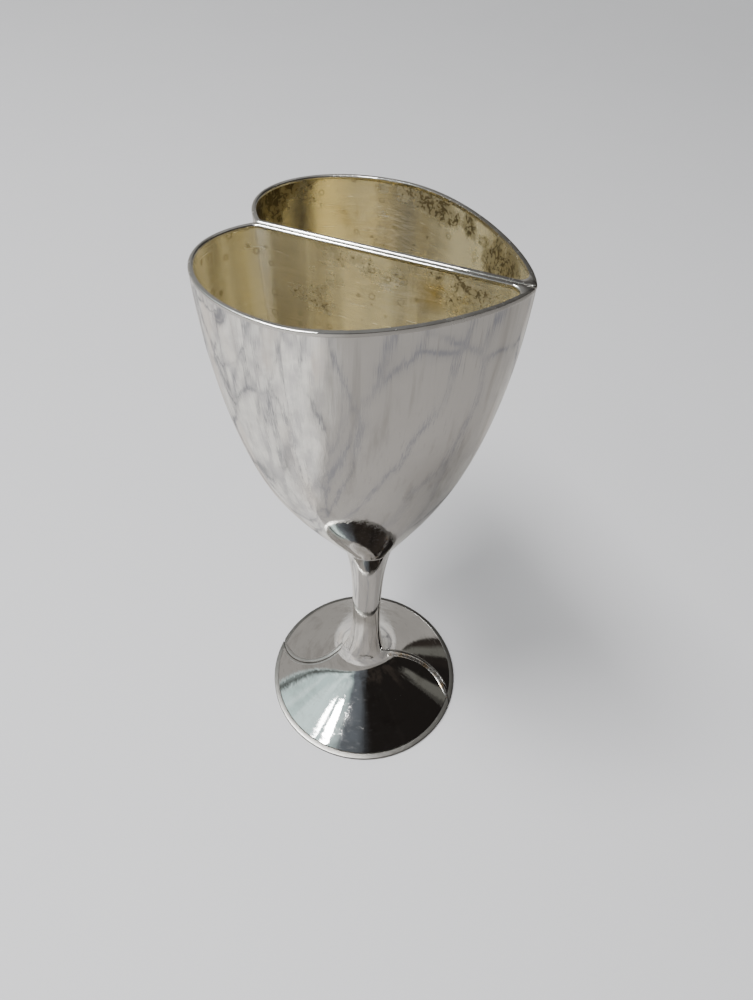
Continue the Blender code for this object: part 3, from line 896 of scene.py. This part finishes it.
def mottled_cloth():
    """What the polished silver mirrors: a pale mottled surface with long soft dark folds."""
    material, tree, shader = new_material("mottled_cloth")
    place = add_node(tree, "TexCoord").outputs["Object"]
    drift = noise(tree, place, 11, 5, 0.55).outputs["Color"]
    bent = add_node(tree, "VectorMath", [(0, scaled(tree, drift, (0.06, 0.06, 0))), (1, place)],
                    operation="ADD").outputs[0]
    ground = cloth_ground(tree, place, bent)
    cloth = mix_colours(tree, cloth_folds(tree, place, bent), ground, CLOTH_LINE)
    tree.links.new(cloth, shader.inputs["Base Color"])
    shader.inputs["Roughness"].default_value = 0.8
    return material


def make_floor(name, height, material):
    mesh = bpy.data.meshes.new(name)
    corners = [(-1, -1), (1, -1), (1, 1), (-1, 1)]
    points = [(x * FLOOR_SPAN, y * FLOOR_SPAN, height) for x, y in corners]
    mesh.from_pydata(points, [], [(0, 1, 2, 3)])
    mesh.materials.append(material)
    floor = bpy.data.objects.new(name, mesh)
    bpy.context.scene.collection.objects.link(floor)
    return floor


def glow_far_away(material, colour):
    """Let a floor shine softly far from the object, where the lights no longer reach."""
    tree = material.node_tree
    shader = tree.nodes["Principled BSDF"]
    place = add_node(tree, "TexCoord").outputs["Object"]
    away = add_node(tree, "VectorMath", [(0, place)], operation="LENGTH").outputs["Value"]
    shader.inputs["Emission Color"].default_value = (*colour, 1)
    tree.links.new(ramp(tree, away, GLOW_START, GLOW_FULL), shader.inputs["Emission Strength"])
    return material


def make_floors():
    """The plain floor, and a cloth that only mirror images show."""
    pale = plain_material("pale_floor", FLOOR_COLOUR, 0.7)
    floor = make_floor("floor", 0, glow_far_away(pale, BACKGROUND))
    floor.visible_glossy = False
    cloth = make_floor("mirrored_cloth", CLOTH_LIFT, glow_far_away(mottled_cloth(), WALLS))
    cloth.visible_camera = False
    cloth.visible_diffuse = False
    cloth.visible_shadow = False


def add_area_light(name, heading, height, distance, size, power):
    """A soft light aimed at the object; the heading is turned from -Y towards +X."""
    light = bpy.data.lights.new(name, "AREA")
    light.shape = "RECTANGLE"
    light.size, light.size_y = size
    light.energy = power
    lamp = bpy.data.objects.new(name, light)
    around, up = math.radians(heading), math.radians(height)
    away = Vector((math.sin(around) * math.cos(up), -math.cos(around) * math.cos(up), math.sin(up)))
    lamp.location = AIM + distance * away
    lamp.rotation_euler = away.to_track_quat("Z", "Y").to_euler()
    bpy.context.scene.collection.objects.link(lamp)


def swaying_directions(tree, direction):
    """The azimuth, turned from -Y towards +X, and the height of a direction in degrees,
    both swaying a little so that nothing in the room has a straight edge."""
    x, y, z = add_node(tree, "SeparateXYZ", [(0, direction)]).outputs
    degree = math.pi / 180
    wavy = noise(tree, direction, 3.5, 3, 0.6).outputs["Color"]
    sway, lift, _ = add_node(tree, "SeparateColor", [(0, wavy)]).outputs
    azimuth = calculate(tree, "DIVIDE", calculate(tree, "ARCTAN2", x, product(tree, y, -1.0)), degree)
    height = calculate(tree, "DIVIDE", applied(tree, "ARCSINE", z), degree)
    return (calculate(tree, "ADD", azimuth, ramp(tree, sway, 0.3, 0.7, -7, 7)),
            calculate(tree, "ADD", height, ramp(tree, lift, 0.3, 0.7, -4, 4)))


def dark_side(tree, direction, azimuth, height):
    """A dim cluttered room with a curtain and a doorway that are a little paler."""
    clutter = noise(tree, direction, 2.2, 3, 0.6).outputs[0]
    dark = mix_colours(tree, ramp(tree, clutter, 0.45, 0.65), DARK_ROOM, DIM_CORNER)
    curtain = product(tree, band(tree, azimuth, 112, 119, 126, 133),
                      band(tree, height, 21, 26, 33, 37))
    doorway = product(tree, band(tree, azimuth, 146, 152, 156, 164),
                      ramp(tree, height, 17, 20, 1, 0))
    return mix_colours(tree, calculate(tree, "MAXIMUM", curtain, doorway), dark, PALE_CURTAIN)


def room_colour(tree, direction):
    """Pale low walls, a window at the front left, a dark side at the front right, a grey
    backdrop behind and a pale ceiling over it."""
    azimuth, height = swaying_directions(tree, direction)
    x, y, z = add_node(tree, "SeparateXYZ", [(0, direction)]).outputs
    backdrop = product(tree, band(tree, azimuth, -178, -156, -100, -80),
                       ramp(tree, height, 42, 56, 1, 0))
    beside = product(tree, band(tree, azimuth, -125, -90, 0, 38), ramp(tree, height, 58, 74, 1, 0))
    window = product(tree, band(tree, azimuth, -125, -85, -30, -6),
                     ramp(tree, height, 56, 74, 1, 0))
    trees = ramp(tree, noise(tree, direction, 4.5, 3, 0.55).outputs[0], 0.38, 0.60)
    ceiling = product(tree, ramp(tree, y, 0.15, 0.32), ramp(tree, z, 0.74, 0.84))
    level = calculate(tree, "ADD", z, product(tree, x, HORIZON_TILT))
    rail = product(tree, band(tree, level, 0.26, 0.28, 0.30, 0.36), window)

    room = dark_side(tree, direction, azimuth, height)
    room = mix_colours(tree, backdrop, room, BACKDROP)
    room = mix_colours(tree, beside, room, WINDOW_SIDE)
    room = mix_colours(tree, window, room, mix_colours(tree, trees, WINDOW_SHADE, WINDOW))
    room = mix_colours(tree, ceiling, room, CEILING)
    room = mix_colours(tree, rail, room, WINDOW_RAIL)
    return mix_colours(tree, ramp(tree, level, 0.25, 0.275), WALLS, room)


def make_world():
    """A plain background for the camera, and a room for all that the silver mirrors."""
    world = bpy.data.worlds.new("soft_room")
    world.use_nodes = True
    tree = world.node_tree
    direction = add_node(tree, "TexCoord").outputs["Generated"]
    seen = add_node(tree, "LightPath").outputs["Is Camera Ray"]
    colour = mix_colours(tree, seen, room_colour(tree, direction), BACKGROUND)
    tree.links.new(colour, tree.nodes["Background"].inputs["Color"])
    bpy.context.scene.world = world


make_floors()
make_world()
add_area_light("window_pane", heading=-23, height=49.8, distance=0.95, size=(0.10, 0.05), power=0.5)
add_area_light("window_gap", heading=-35, height=47.2, distance=0.95, size=(0.07, 0.028), power=0.11)
add_area_light("high_key", heading=-40, height=66, distance=1.8, size=(1.2, 0.45), power=104)


# ----------------------------------------------------------------------------- the camera

CAMERA_PLACE = (0.0451, -0.1174, 0.2375)
CAMERA_HEADING = math.radians(20.25)    # turned from +Y towards -X
CAMERA_DIP = math.radians(48.11)        # looking down from the level
CAMERA_ROLL = math.radians(2.61)
CAMERA_LENS = 24.87                     # for a frame 36 mm high


def make_camera():
    data = bpy.data.cameras.new("camera")
    data.sensor_fit = "VERTICAL"
    data.sensor_height = 36
    data.lens = CAMERA_LENS
    data.clip_start = 0.005
    camera = bpy.data.objects.new("camera", data)
    heading = Matrix.Rotation(CAMERA_HEADING, 4, "Z")
    tilt = Matrix.Rotation(math.pi / 2 - CAMERA_DIP, 4, "X")
    roll = Matrix.Rotation(CAMERA_ROLL, 4, "Z")
    camera.matrix_world = Matrix.Translation(CAMERA_PLACE) @ heading @ tilt @ roll
    bpy.context.scene.collection.objects.link(camera)
    bpy.context.scene.camera = camera


make_camera()
